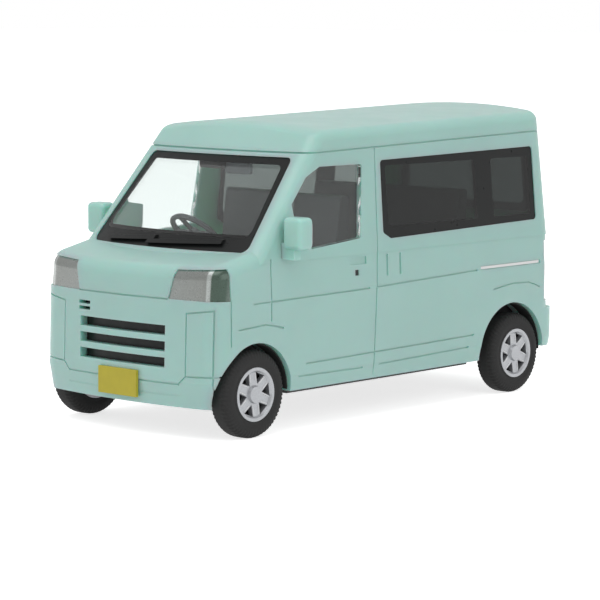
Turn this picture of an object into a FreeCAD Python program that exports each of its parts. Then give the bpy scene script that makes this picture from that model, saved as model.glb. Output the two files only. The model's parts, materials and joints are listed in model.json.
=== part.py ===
import FreeCAD, Part
import math
import os

import Sketcher
from FreeCAD import Placement, Rotation, Vector

# A toy kei van at about 1:64. Millimetres. The origin is on the ground, midway along the van.
# The van faces -Y, +X is its left side, +Z is up.
# Distances named "back" are measured rearwards from the number plate's face at the very front,
# distances named "fore" forwards from the rear bumper's face, and heights from the ground.

SIZES = {
    # Overall body
    "overall_length": 53.0,
    "body_width": 23.5,
    "wall": 0.9,
    "plate_proud": 0.3,
    "under_bumper": 3.05,
    "under_sill": 3.9,
    "under_tail": 4.4,
    "bumper_height": 5.4,
    "waist_height": 12.8,
    "belt_height": 17.2,
    "nose_bow": 60.0,
    "nose_corner": 2.4,
    "nose_lean": 0.2,
    "tail_bow": 120.0,
    "tail_corner": 2.0,
    "tail_step": 0.72,
    "tail_bumper_top": 8.4,
    # Bonnet
    "bonnet_back": 6.8,
    "bonnet_height": 17.05,
    "bonnet_slope": 0.22,
    "bonnet_round": 1.4,
    # Cab and roof
    "cab_foot_height": 16.0,
    "cab_head_height": 26.0,
    "cab_lean": 0.98,
    "screen_foot_back": 4.2,
    "screen_head_back": 13.9,
    "screen_foot_bow": 33.0,
    "screen_head_bow": 135.0,
    "screen_corner": 1.4,
    "tail_lean": 0.4,
    "roof_height": 29.4,
    "roof_rise": 0.027,
    "roof_crown": 80.0,
    "roof_front_radius": 4.4,
    "roof_lip_height": 25.75,
    "roof_round": 1.1,
    # Windscreen
    "screen_bottom": 16.95,
    "screen_top": 25.35,
    "screen_half_bottom": 10.15,
    "screen_half_top": 9.15,
    "screen_band_bottom": 1.25,
    "screen_band_top": 0.7,
    "screen_band_side": 0.75,
    # Glazing seats under the body's skin
    "glazing_step": 0.12,
    "glazing_thick": 0.6,
    # Front door window
    "door_window_front_back": 11.7,
    "door_window_notch_back": 13.95,
    "door_window_rear_back": 21.2,
    "door_window_bottom": 17.2,
    "door_window_notch": 19.75,
    "door_window_nose": 21.2,
    "door_window_top": 24.5,
    "door_window_brow_back": 14.9,
    # Rear side window
    "side_window_front_back": 24.7,
    "side_window_rear_fore": 3.95,
    "side_window_bottom": 17.5,
    "side_window_top": 25.0,
    "side_window_chamfer": 0.9,
    "side_band": 0.8,
    "side_post_fore": 13.6,
    "side_post_width": 2.7,
    # Tailgate window
    "gate_window_bottom": 18.2,
    "gate_window_top": 25.3,
    "gate_window_half": 8.7,
    "gate_band": 0.8,
    # Wheels and axles
    "front_axle_back": 6.41,
    "wheelbase": 39.24,
    "tyre_radius": 4.09,
    "tyre_width": 2.25,
    "tyre_shoulder": 0.55,
    "track_outer": 23.2,
    "rim_radius": 2.5,
    "rim_lip": 0.3,
    "rim_depth": 0.2,
    "spoke_turn": 22.0,
    "rim_disc": 0.5,
    "hub_radius": 0.75,
    "hub_proud": 0.25,
    "spoke_window_inner": 1.0,
    "spoke_window_outer": 2.0,
    "spoke_window_half": 0.62,
    "spoke_count": 6,
    "axle_radius": 0.5,
    "axle_clearance": 0.08,
    # Arches
    "front_arch_radius": 4.75,
    "rear_arch_radius": 5.3,
    "rear_arch_shift": 0.8,
    "arch_lip": 0.6,
    "arch_depth": 2.85,
    # Grille slots in the nose
    "slot_half_width": 5.6,
    "slot_height": 0.92,
    "slot_pitch": 1.48,
    "slot_top": 10.47,
    "dash_slot_width": 1.65,
    "dash_slot_height": 0.32,
    "dash_slot_pitch": 0.55,
    "dash_slot_top": 11.95,
    "dash_slot_outer": 5.85,
    # Head lamps
    "lamp_inner_top": 6.5,
    "lamp_inner_bottom": 5.8,
    "lamp_bottom": 12.9,
    "lamp_top": 15.6,
    "lamp_recess": 0.15,
    "lamp_thick": 0.6,
    "lamp_end_back": 3.1,
    # Tail lamps
    "tail_lamp_bottom": 9.2,
    "tail_lamp_top": 15.4,
    "tail_lamp_width": 1.7,
    # Shallow fields under the base, bosses on it, and where the wipers end
    "relief_depth": 0.25,
    "tank_side": 2.2,
    "tank_width": 5.2,
    "tank_length": 12.0,
    "exhaust_side": 6.6,
    "exhaust_width": 0.8,
    "exhaust_length": 19.0,
    "silencer_length": 4.4,
    "silencer_width": 3.0,
    "screw_radius": 1.1,
    "screw_reach": 13.0,
    "boss_side": 6.0,
    "boss_reach": 8.5,
    "wiper_right_end": 7.5,
    "wiper_right_foot": 0.8,
    "wiper_left_foot": 1.6,
    "wiper_left_end": 7.2,
    # Panel lines engraved in the moulding
    "gutter_back": 13.0,
    "belt_back": 6.0,
    "seam_width": 0.16,
    "seam_depth": 0.15,
    "least_round": 0.55,
    "door_front_back": 8.36,
    "door_rear_back": 23.4,
    "door_rear_lean": 0.052,
    "sill_crease": 6.4,
    "sill_step": 5.2,
    "gutter_height": 25.85,
    "gutter_rise": 0.017,
    "fender_seam_back": 3.05,
    "nose_panel_half": 8.0,
    "nose_panel_bottom": 5.2,
    "nose_panel_chamfer": 0.75,
    "nose_panel_top": 11.7,
    "nose_flank_half": 10.8,
    "bonnet_seam": 12.9,
    "chin_groove": 4.1,
    "gate_seam_half": 9.7,
    "gate_seam_top": 26.3,
    "handle_slot_width": 0.34,
    "door_slot_back": 24.9,
    "slider_slot_back": 26.86,
    "slot_grip_bottom": 13.65,
    "slot_grip_top": 15.75,
    "keyhole_back": 20.45,
    "keyhole_height": 14.25,
    "keyhole_side": 0.55,
    "pull_back": 19.45,
    "pull_length": 2.4,
    "pull_bottom": 15.0,
    "pull_height": 0.75,
    "rail_back": 39.5,
    "rail_length": 10.0,
    "rail_bottom": 13.1,
    "rail_height": 0.4,
    "gate_pull_half": 2.3,
    "gate_pull_bottom": 13.3,
    # Number plates
    "plate_width": 5.0,
    "plate_height": 2.5,
    "front_plate_height": 4.85,
    "rear_plate_height": 11.4,
    # Chassis
    "chassis_clearance": 0.06,
    "chassis_floor": 3.5,
    "chassis_thick": 1.0,
    "cheek_half": 8.75,
    "cheek_thick": 0.7,
    "boss_radius": 1.1,
    # Cabin
    "cabin_floor": 10.2,
    "cabin_floor_thick": 0.7,
    "tray_clearance": 0.25,
    "tray_corner": 0.7,
    "dash_top": 16.4,
    "dash_depth": 6.6,
    "dash_nose_drop": 1.4,
    "dash_nose_length": 2.4,
    "dash_cowl_gap": 0.35,
    "seat_width": 6.0,
    "seat_length": 6.2,
    "seat_height": 2.7,
    "seat_back_height": 7.6,
    "seat_back_thick": 1.7,
    "seat_round": 0.5,
    "front_seat_back": 17.0,
    "rear_seat_back": 32.5,
    "seat_offset": 4.4,
    "steering_radius": 2.4,
    "steering_rim": 0.28,
    "steering_back": 15.0,
    "steering_height": 17.4,
    "steering_tilt": 40.0,
    # Mirrors and wipers
    "mirror_back": 9.55,
    "mirror_length": 1.9,
    "mirror_width": 2.25,
    "mirror_height": 3.9,
    "mirror_bottom": 16.3,
    "mirror_round": 0.45,
    "mirror_arm_height": 0.9,
    "wiper_width": 0.35,
    "wiper_thick": 0.3,
}

SIDES = (("left", 1), ("right", -1))


class Size:
    """A length that knows its number and the sheet formula that it comes from."""

    def __init__(self, number, formula):
        self.number = number
        self.formula = formula

    def __float__(self):
        return float(self.number)

    def __neg__(self):
        return Size(-self.number, "(-" + self.formula + ")")

    def __add__(self, other):
        other = as_size(other)
        return Size(self.number + other.number, "(" + self.formula + " + " + other.formula + ")")

    def __radd__(self, other):
        return as_size(other) + self

    def __sub__(self, other):
        other = as_size(other)
        return Size(self.number - other.number, "(" + self.formula + " - " + other.formula + ")")

    def __rsub__(self, other):
        return as_size(other) - self

    def __mul__(self, other):
        other = as_size(other)
        return Size(self.number * other.number, "(" + self.formula + " * " + other.formula + ")")

    def __rmul__(self, other):
        return as_size(other) * self

    def __truediv__(self, other):
        other = as_size(other)
        return Size(self.number / other.number, "(" + self.formula + " / " + other.formula + ")")


def as_size(value):
    """A plain number as a Size, so that sums can mix both."""
    if isinstance(value, Size):
        return value
    return Size(float(value), repr(float(value)))


class Sheet:
    """The driving dimensions: each is a named cell, and an attribute that gives its Size."""

    def __init__(self, document, sizes):
        self.cells = document.addObject("Spreadsheet::Sheet", "sizes")
        for row, (name, number) in enumerate(sizes.items(), start=1):
            self.cells.set("A%d" % row, name)
            self.cells.set("B%d" % row, str(number))
            self.cells.setAlias("B%d" % row, name)
        document.recompute()
        self.names = set(sizes)

    def __getattr__(self, name):
        if name not in self.names:
            raise AttributeError(name)
        return Size(float(self.cells.get(name)), "sizes." + name)


doc = FreeCAD.newDocument("toy_kei_van")
size = Sheet(doc, SIZES)

# Places worked out from the driving dimensions
front = -size.overall_length / 2
rear = size.overall_length / 2
half_width = size.body_width / 2
front_axle = front + size.front_axle_back
rear_axle = front_axle + size.wheelbase
wheel_face = size.track_outer / 2
nose_face = front + size.plate_proud
tail_face = rear - size.tail_step
side_lean = size.cab_lean / (size.cab_head_height - size.cab_foot_height)
REACH = 2 * (size.body_width + size.overall_length)


# Helpers for features that are bound to the sheet

def bind(feature, **values):
    """Bind each property of a feature to its formula."""
    for name, value in values.items():
        feature.setExpression(name, as_size(value).formula)


def origin_plane(body, role):
    """One of the body's own origin planes."""
    return next(plane for plane in body.Origin.OriginFeatures if plane.Role == role)


def outline(body, name, role, corners):
    """A closed sketch of straight lines on an origin plane, each corner bound to the sheet."""
    sketch = body.newObject("Sketcher::SketchObject", name)
    sketch.AttachmentSupport = (origin_plane(body, role), "")
    sketch.MapMode = "FlatFace"
    count = len(corners)
    points = [Vector(float(u), float(v), 0) for u, v in corners]
    for index in range(count):
        sketch.addGeometry(Part.LineSegment(points[index], points[(index + 1) % count]))
    for index in range(count):
        sketch.addConstraint(Sketcher.Constraint("Coincident", index, 2, (index + 1) % count, 1))
    for index, (u, v) in enumerate(corners):
        for kind, place in (("DistanceX", u), ("DistanceY", v)):
            number = sketch.addConstraint(
                Sketcher.Constraint(kind, -1, 1, index, 1, float(place)))
            sketch.setExpression("Constraints[%d]" % number, as_size(place).formula)
    return sketch


def circle(body, name, role, centre, radius):
    """A sketch of one circle on an origin plane, bound to the sheet."""
    sketch = body.newObject("Sketcher::SketchObject", name)
    sketch.AttachmentSupport = (origin_plane(body, role), "")
    sketch.MapMode = "FlatFace"
    middle = Vector(float(centre[0]), float(centre[1]), 0)
    sketch.addGeometry(Part.Circle(middle, Vector(0, 0, 1), float(radius)))
    bound = (("DistanceX", (-1, 1, 0, 3), centre[0]), ("DistanceY", (-1, 1, 0, 3), centre[1]),
             ("Radius", (0,), radius))
    for kind, places, value in bound:
        number = sketch.addConstraint(Sketcher.Constraint(kind, *places, float(value)))
        sketch.setExpression("Constraints[%d]" % number, as_size(value).formula)
    return sketch


def new_body(name):
    body = doc.addObject("PartDesign::Body", name)
    body.Label = name
    return body


def pad(body, name, sketch, length, both_ways=False):
    """Pad a sketch along its normal, or half each way."""
    feature = body.newObject("PartDesign::Pad", name)
    feature.Profile = sketch
    feature.SideType = "Symmetric" if both_ways else "One side"
    bind(feature, Length=length)
    return feature


def pocket(body, name, sketch, length, both_ways=True):
    """Cut a sketch out of the body, half each way."""
    feature = body.newObject("PartDesign::Pocket", name)
    feature.Profile = sketch
    feature.SideType = "Symmetric" if both_ways else "One side"
    bind(feature, Length=length)
    return feature


def revolution(body, name, sketch, axis):
    feature = body.newObject("PartDesign::Revolution", name)
    feature.Profile = sketch
    feature.ReferenceAxis = (sketch, [axis])
    feature.Angle = 360
    return feature


def place(item, x, y, z):
    """Place a finished piece, its position bound to the sheet."""
    item.setExpression(".Placement.Base.x", as_size(x).formula)
    item.setExpression(".Placement.Base.y", as_size(y).formula)
    item.setExpression(".Placement.Base.z", as_size(z).formula)


def shaped(name, shape, position=Placement()):
    """A piece whose form is worked out by Part's own functions."""
    piece = doc.addObject("Part::Feature", name)
    piece.Label = name
    piece.Shape = shape
    piece.Placement = position
    return piece


# Plan outlines of the body, from its nose to its tail

def bowed_end(half, tip, bow, corner):
    """Where a bowed end meets its corner arc, the arc's middle, and where the arc meets the side.

    The end is an arc of radius bow whose tip lies on the centre line, and the corner arc touches
    both it and the straight side.
    """
    centre_y = tip + bow - math.sqrt((bow - corner) ** 2 - (half - corner) ** 2)
    centre = Vector(half - corner, centre_y, 0)
    outwards = (centre - Vector(0, tip + bow, 0)).normalize()
    middle = (outwards + Vector(1, 0, 0)).normalize()
    return centre + outwards * corner, centre + middle * corner, Vector(half, centre_y, 0)


def plan_outline(height, half, nose, nose_bow, nose_corner, tail, tail_bow, tail_corner):
    """The body's outline at one height: bowed nose and tail, straight sides, arcs at the corners."""
    lift = Vector(0, 0, height)
    quarter = [point + lift for point in bowed_end(half, nose, nose_bow, nose_corner)]
    tail_end = bowed_end(half, -tail, tail_bow, tail_corner)
    rear_quarter = [Vector(point.x, -point.y, height) for point in tail_end]
    mirrored = [Vector(-point.x, point.y, point.z) for point in quarter]
    rear_mirrored = [Vector(-point.x, point.y, point.z) for point in rear_quarter]
    nose_tip = Vector(0, nose, height)
    tail_tip = Vector(0, tail, height)
    return Part.Wire([
        Part.Arc(mirrored[0], nose_tip, quarter[0]).toShape(),
        Part.Arc(*quarter).toShape(),
        Part.makeLine(quarter[2], rear_quarter[2]),
        Part.Arc(*reversed(rear_quarter)).toShape(),
        Part.Arc(rear_quarter[0], tail_tip, rear_mirrored[0]).toShape(),
        Part.Arc(*rear_mirrored).toShape(),
        Part.makeLine(rear_mirrored[2], mirrored[2]),
        Part.Arc(*reversed(mirrored)).toShape()])


def lower_form(inset, tail=None):
    """The body below its belt line, cut off by the bonnet, drawn in by inset."""
    tail = float(tail_face) if tail is None else tail
    foot = float(size.under_bumper) - (REACH.number / 8 if inset else 0)
    belt_half = half_width - 0.1 - (size.belt_height - size.cab_foot_height) * side_lean
    # Columns: height, half width, nose, tail
    sections = (
        (foot, half_width - 0.3, nose_face + 0.25, tail - 0.3),
        (size.bumper_height, half_width, nose_face, tail),
        (size.waist_height, half_width, nose_face + size.nose_lean, tail),
        (size.belt_height, belt_half, nose_face + 2.4 * size.nose_lean, tail - 0.1),
    )
    wires = [plan_outline(float(height), float(half) - inset, float(nose) + inset,
                          size.nose_bow.number - inset, size.nose_corner.number - inset,
                          float(end) - inset, size.tail_bow.number - inset,
                          size.tail_corner.number - inset)
             for height, half, nose, end in sections]
    block = Part.makeLoft(wires, True, True)
    above = Part.makeBox(REACH, REACH, REACH, Vector(-REACH / 2, -REACH / 2, 0))
    above.rotate(Vector(), Vector(1, 0, 0), math.degrees(math.atan(size.bonnet_slope)))
    above.translate(Vector(0, front + size.bonnet_back, size.bonnet_height.number - inset))
    block = block.cut(above)
    rounding = size.bonnet_round.number - inset
    if rounding > size.least_round.number:
        edges = [edge for edge in block.Edges
                 if edge.CenterOfMass.z > size.waist_height.number + 2
                 and edge.BoundBox.YMax < 0 and not is_level_across(edge)]
        block = block.makeFillet(rounding, edges)
    return block


def is_level_across(edge):
    """True for the straight edge across the top, which lies inside the cab."""
    return edge.Curve.TypeId == "Part::GeomLine" and edge.BoundBox.YLength < 1e-6


def upper_form(inset, rounded=True):
    """The cab and load space above the belt line: leaning screen, sides and tail, and the roof."""
    low = size.cab_foot_height.number
    high = size.cab_head_height.number
    top = size.roof_height.number + 1.0
    slope = (size.screen_head_back.number - size.screen_foot_back.number) / (high - low)
    screen_inset = inset * math.sqrt(1 + slope ** 2)
    # Columns: height, half width, screen, screen bow, tail
    foot = (low, half_width - 0.1, front + size.screen_foot_back, size.screen_foot_bow, tail_face)
    head = (high, foot[1] - size.cab_lean, front + size.screen_head_back,
            size.screen_head_bow, tail_face - size.tail_lean)
    foot = [float(value) for value in foot]
    head = [float(value) for value in head]
    share = (top - low) / (high - low)
    peak = [a + (b - a) * share for a, b in zip(foot, head)]
    wires = [plan_outline(height, half - inset, screen + screen_inset, bow - inset,
                          size.screen_corner.number - min(inset, 1.0), tail - inset,
                          size.tail_bow.number - inset, size.tail_corner.number - inset)
             for height, half, screen, bow, tail in (foot, peak)]
    sides = Part.makeLoft(wires, True, True)
    body = sides.common(roof_cap(inset, slope))
    rounding = size.roof_round.number - inset
    if rounded and rounding > size.least_round.number:
        body = body.makeFillet(rounding, [edge for edge in body.Edges if on_roof_edge(edge)])
    return body


def on_roof_edge(edge):
    """True for the edges where the roof meets the sides and the tail."""
    middle = edge.CenterOfMass
    outer = abs(middle.x) > half_width.number / 2 + 2 or middle.y > rear.number / 2 + 6
    return middle.z > size.cab_head_height.number + 0.2 and outer


def roof_cap(inset, slope):
    """Everything below the roof: a crowned section swept back, and turned down over the screen."""
    angle = math.atan(size.roof_rise)
    along = Vector(0, math.cos(angle), math.sin(angle))
    upward = Vector(0, -math.sin(angle), math.cos(angle))
    radius = size.roof_front_radius.number
    lip = size.roof_lip_height.number
    lip_y = (front.number + size.screen_foot_back.number
             + (lip - size.cab_foot_height.number) * slope)
    axis = roof_axis(lip_y, lip, radius, angle)
    crown = size.roof_crown.number
    half = half_width.number + 2
    sag = crown - math.sqrt(crown ** 2 - half ** 2)
    top = axis + upward * (radius - inset)
    left = top - upward * sag + Vector(half, 0, 0)
    right = top - upward * sag - Vector(half, 0, 0)
    side = Vector(half, 0, 0)
    section = Part.Face(Part.Wire([
        Part.Arc(right, top, left).toShape(), Part.makeLine(left, axis + side),
        Part.makeLine(axis + side, axis - side), Part.makeLine(axis - side, right)]))
    roof = section.extrude(along * size.overall_length.number)
    brow = section.revolve(axis, Vector(1, 0, 0), 90)
    below = Part.makeBox(REACH, REACH, lip, Vector(-REACH / 2, -REACH / 2, 0))
    return roof.fuse([brow, below]).removeSplitter()


def roof_axis(lip_y, lip_z, radius, angle):
    """Centre of the arc that starts at the screen's lip and runs smoothly into the roof line.

    The centre lies the radius below the roof line and the radius from the lip, so its distance
    along the roof line follows from a right-angled triangle.
    """
    along = Vector(0, math.cos(angle), math.sin(angle))
    upward = Vector(0, -math.sin(angle), math.cos(angle))
    on_line = Vector(0, tail_face.number, size.roof_height.number) - upward * radius
    to_lip = Vector(0, lip_y, lip_z) - on_line
    drop = to_lip.dot(upward)
    return on_line + along * (to_lip.dot(along) + math.sqrt(radius ** 2 - drop ** 2))


FORMS = {}


def form(inset):
    """The whole body drawn in by inset, kept so that each is worked out once."""
    key = round(float(inset), 4)
    if key not in FORMS:
        FORMS[key] = lower_form(key).fuse(upper_form(key))
    return FORMS[key]


def skin(outer, inner):
    """The layer of the body between two depths under its surface."""
    return form(outer).cut(form(inner))


# Outlines seen from the side or the front, used to cut windows and lamps

def prism(points, direction):
    """A closed outline of points pushed along a direction."""
    closed = [Vector(*[float(value) for value in point]) for point in points]
    face = Part.Face(Part.makePolygon(closed + closed[:1]))
    return face.extrude(direction)


def rounded_prism(points, direction, radius):
    """A prism whose long edges are rounded."""
    solid = prism(points, direction)
    way = Vector(direction).normalize()
    edges = [edge for edge in solid.Edges
             if abs(abs(edge.tangentAt(edge.FirstParameter).dot(way)) - 1) < 1e-6]
    return solid.makeFillet(radius, edges)


def side_prism(points, radius, sign):
    """A rounded outline of (y, z) points pushed out through one side of the body."""
    return rounded_prism([(0, y, z) for y, z in points], Vector(sign * REACH.number / 2, 0, 0),
                         radius)


def screen_outline(grow):
    """The windscreen's outline seen from the front; grow widens it, or narrows it when negative."""
    if grow:
        bottom = size.screen_bottom.number + size.screen_band_bottom.number
        top = size.screen_top.number - size.screen_band_top.number
        side = size.screen_band_side.number
    else:
        bottom = size.screen_bottom.number
        top = size.screen_top.number
        side = 0.0
    low = size.screen_half_bottom.number - side
    high = size.screen_half_top.number - side
    deep = front.number - 1
    points = [(low, deep, bottom), (high, deep, top), (-high, deep, top), (-low, deep, bottom)]
    return rounded_prism(points, Vector(0, size.overall_length.number * 0.45, 0), 0.6)


def door_window(sign):
    back = {name: front + value for name, value in (
        ("front", size.door_window_front_back), ("notch", size.door_window_notch_back),
        ("brow", size.door_window_brow_back), ("rear", size.door_window_rear_back))}
    points = [(back["rear"], size.door_window_bottom + 0.3),
              (back["rear"] + 0.8, size.door_window_top),
              (back["brow"] + 1.0, size.door_window_top),
              (back["brow"] - 1.0, size.door_window_top - 0.9),
              (back["front"], size.door_window_nose),
              (back["front"] + 0.2, size.door_window_notch + 0.3),
              (back["notch"], size.door_window_notch),
              (back["notch"], size.door_window_bottom - 0.3)]
    return side_prism(points, 0.25, sign)


def side_window(sign):
    start = front + size.side_window_front_back
    end = rear - size.side_window_rear_fore
    chamfer = size.side_window_chamfer
    points = [(start, size.side_window_top - 0.25), (end, size.side_window_top + 0.2),
              (end, size.side_window_bottom + 0.2), (start + chamfer, size.side_window_bottom - 0.3),
              (start - 0.2, size.side_window_bottom + 0.3)]
    return side_prism(points, 0.4, sign)


def side_panes(sign):
    """The two clear openings in the rear side window's black panel."""
    band = size.side_band
    start = front + size.side_window_front_back + band
    end = rear - size.side_window_rear_fore - band
    post = rear - size.side_post_fore
    bottom = size.side_window_bottom + band
    top = size.side_window_top - band
    spans = ((start, post), (post + size.side_post_width, end))
    return [side_prism([(a, bottom), (b, bottom), (b, top), (a, top)], 0.35, sign)
            for a, b in spans]


def gate_outline(band):
    """The tailgate window's outline seen from behind, drawn in by band."""
    half = size.gate_window_half.number - band
    bottom = size.gate_window_bottom.number + band
    top = size.gate_window_top.number - band
    start = rear.number / 2
    points = [(half, start, bottom), (half - 0.4, start, top), (-half + 0.4, start, top),
              (-half, start, bottom)]
    return rounded_prism(points, Vector(0, size.overall_length.number / 2, 0), 0.6)


def lamp_outline(sign):
    """A head lamp's outline seen from the front, open to the side."""
    outer = half_width.number + 1
    points = [(size.lamp_inner_bottom, size.lamp_bottom), (outer, size.lamp_bottom),
              (outer, size.lamp_top + 0.3), (size.lamp_inner_top, size.lamp_top)]
    points = [(sign * float(x), float(front) - 1, z) for x, z in points]
    return prism(points, Vector(0, size.lamp_end_back.number + 1, 0))


def tail_lamp_outline(sign):
    outer = half_width.number + 1
    inner = half_width.number - size.tail_lamp_width.number
    start = tail_face.number - size.tail_corner.number
    points = [(inner, size.tail_lamp_bottom), (outer, size.tail_lamp_bottom),
              (outer, size.tail_lamp_top), (inner + 0.2, size.tail_lamp_top)]
    points = [(sign * x, start, z) for x, z in points]
    return prism(points, Vector(0, size.tail_corner.number + 2, 0))


def drum(radius, x_from, x_to, y, z):
    """A cylinder lying across the van."""
    return Part.makeCylinder(radius, abs(x_to - x_from), Vector(min(x_from, x_to), y, z),
                             Vector(1, 0, 0))


# The wheel arches: name, middle along the van, radius
ARCHES = (("front", front_axle, size.front_arch_radius),
          ("rear", rear_axle - size.rear_arch_shift, size.rear_arch_radius))


def grille_slots():
    """The three long slots and the two short ones, as cutters through the nose."""
    cutters = []
    deep = size.nose_corner.number + 1
    for index in range(3):
        top = size.slot_top.number - index * size.slot_pitch.number
        cutters.append(Part.makeBox(2 * size.slot_half_width, deep, size.slot_height,
                                    Vector(-size.slot_half_width, front - 1,
                                           top - size.slot_height.number)))
    for index in range(2):
        top = size.dash_slot_top.number - index * size.dash_slot_pitch.number
        cutters.append(Part.makeBox(size.dash_slot_width, deep, size.dash_slot_height,
                                    Vector(-size.dash_slot_outer, front - 1,
                                           top - size.dash_slot_height.number)))
    return cutters


def strip(points, width, direction):
    """A band of a width along a line of points, pushed along a direction, as one prism a run."""
    way = Vector(direction).normalize()
    half = float(width) / 2
    runs = []
    for start, end in zip(points, points[1:]):
        along = (end - start).normalize() * half
        across = along.cross(way)
        runs.append(prism([start - along - across, end + along - across,
                           end + along + across, start - along + across], direction))
    return runs


def side_lines():
    """The lines engraved in each side, as lists of (distance back, height) points."""
    foot = size.under_sill.number - 1
    lean = size.door_rear_lean.number
    gutter = size.gutter_height.number
    door = size.door_rear_back.number - lean * (gutter - foot) / 2
    door_front = size.door_front_back.number
    fender = size.fender_seam_back.number
    waist = size.waist_height.number
    arch_back = (ARCHES[0][1] - front).number
    rear_arch_back = (ARCHES[1][1] - front).number
    front_reach = size.front_arch_radius.number
    rear_reach = size.rear_arch_radius.number
    crease = size.sill_crease.number
    step = size.sill_step.number
    axle_height = size.tyre_radius.number
    flare = axle_height + front_reach + 1.6
    rear_flare = axle_height + rear_reach + 2.0
    whole = size.overall_length.number
    bumper = size.tail_bumper_top.number
    return (
        [(door, foot), (door + lean * (gutter - foot), gutter)],
        [(door_front, flare + 0.3), (door_front, size.mirror_bottom.number)],
        [(fender, axle_height + front_reach), (fender, size.lamp_bottom.number)],
        [(size.gutter_back.number, gutter - 0.1),
         (whole - 2.0, gutter + size.gutter_rise.number * whole)],
        [(arch_back + front_reach + 2.0, crease - 0.1),
         (rear_arch_back - rear_reach - 1.2, crease + 0.25)],
        [(arch_back + front_reach + 1.0, step), (door - 1.6, step - 0.1)],
        [(door + 1.0, step), (rear_arch_back - rear_reach - 2.0, step + 0.3)],
        [(arch_back - 0.5 * front_reach, flare - 0.2), (arch_back + 0.25 * front_reach, flare),
         (arch_back + 0.75 * front_reach, flare - 0.5)],
        [(rear_arch_back - 0.6 * rear_reach, rear_flare - 0.4), (rear_arch_back, rear_flare),
         (rear_arch_back + 0.5 * rear_reach, rear_flare - 0.1),
         (rear_arch_back + 0.85 * rear_reach, rear_flare - 0.7)],
        [(rear_arch_back + rear_reach + 0.6, bumper - 2.5), (whole, bumper - 2.5)],
        [(size.belt_back.number, waist - 0.35), (door - 0.6, waist - 0.15)],
        [(door + 0.6, waist - 0.1), (size.rail_back.number - 0.6, waist + 0.35)],
    )


def side_recesses():
    """Grips, keyhole and rail in each side: distance back, bottom, length, height."""
    grip = size.slot_grip_top - size.slot_grip_bottom
    half = size.handle_slot_width / 2
    return (
        (size.door_slot_back - half, size.slot_grip_bottom, size.handle_slot_width, grip),
        (size.slider_slot_back - half, size.slot_grip_bottom, size.handle_slot_width, grip),
        (size.pull_back, size.pull_bottom, size.pull_length, size.pull_height),
        (size.rail_back, size.rail_bottom, size.rail_length, size.rail_height),
    )


def engraving():
    """Everything that is engraved in the moulding, no deeper than a panel line."""
    width = size.seam_width.number
    tools = []
    for _, sign in SIDES:
        out = Vector(sign * REACH.number / 2, 0, 0)
        for line in side_lines():
            tools += strip([Vector(0, front.number + back, height) for back, height in line],
                           width, out)
        for back, bottom, length, height in side_recesses():
            start = front + back
            tools.append(side_prism([(start, bottom), (start + length, bottom),
                                     (start + length, bottom + height), (start, bottom + height)],
                                    0.12, sign))
    chin = size.chin_groove.number
    bumper_line = size.nose_panel_bottom.number + size.nose_panel_chamfer.number
    half = size.nose_panel_half.number
    flank = size.nose_flank_half.number
    foot = size.nose_panel_bottom.number
    chamfer = size.nose_panel_chamfer.number
    nose_lines = [[(-half + chamfer, foot), (half - chamfer, foot)],
                  [(-size.lamp_inner_bottom.number, size.bonnet_seam.number),
                   (size.lamp_inner_bottom.number, size.bonnet_seam.number)],
                  [(-half + chamfer, chin), (half - chamfer, chin)]]
    for _, sign in SIDES:
        nose_lines += [[(sign * (half - chamfer), foot), (sign * half, bumper_line),
                        (sign * half, size.nose_panel_top.number),
                        (sign * flank, size.nose_panel_top.number + 0.4)],
                       [(sign * flank, size.under_bumper.number - 1),
                        (sign * flank, size.nose_panel_top.number + 0.4)],
                       [(sign * half, bumper_line), (sign * (half_width.number + 1),
                                                     bumper_line + 0.2)]]
    for line in nose_lines:
        tools += strip([Vector(x, front.number - 1, height) for x, height in line], width,
                       Vector(0, size.nose_corner.number + 3, 0))
    gate = size.gate_seam_half.number
    top = size.gate_seam_top.number
    bumper_top = size.tail_bumper_top.number + width
    pull = size.gate_pull_half.number
    gate_lines = [[(gate, bumper_top), (gate - 0.6, top)], [(-gate, bumper_top), (0.6 - gate, top)],
                  [(gate - 0.6, top), (0.6 - gate, top)]]
    for line in gate_lines:
        tools += strip([Vector(x, rear.number + 1, height) for x, height in line], width,
                       Vector(0, -size.tail_corner.number - 3, 0))
    grip = size.gate_pull_bottom.number
    tools.append(rounded_prism([(-pull, rear, grip), (pull, rear, grip), (pull, rear, grip + 0.8),
                                (-pull, rear, grip + 0.8)],
                               Vector(0, -size.tail_corner.number - 1, 0), 0.2))
    layer = skin(0, size.seam_depth)
    return [tool.common(layer) for tool in tools]


def keyholes():
    """A square hole sunk in each front door's wall."""
    side = size.keyhole_side.number
    start = front.number + size.keyhole_back.number - side / 2
    low = size.keyhole_height.number - side / 2
    ends = (half_width.number - size.wall.number, half_width.number + 0.5)
    return [Part.makeBox(ends[1] - ends[0], side, side,
                         Vector(ends[0] if sign > 0 else -ends[1], start, low))
            for _, sign in SIDES]


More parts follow.
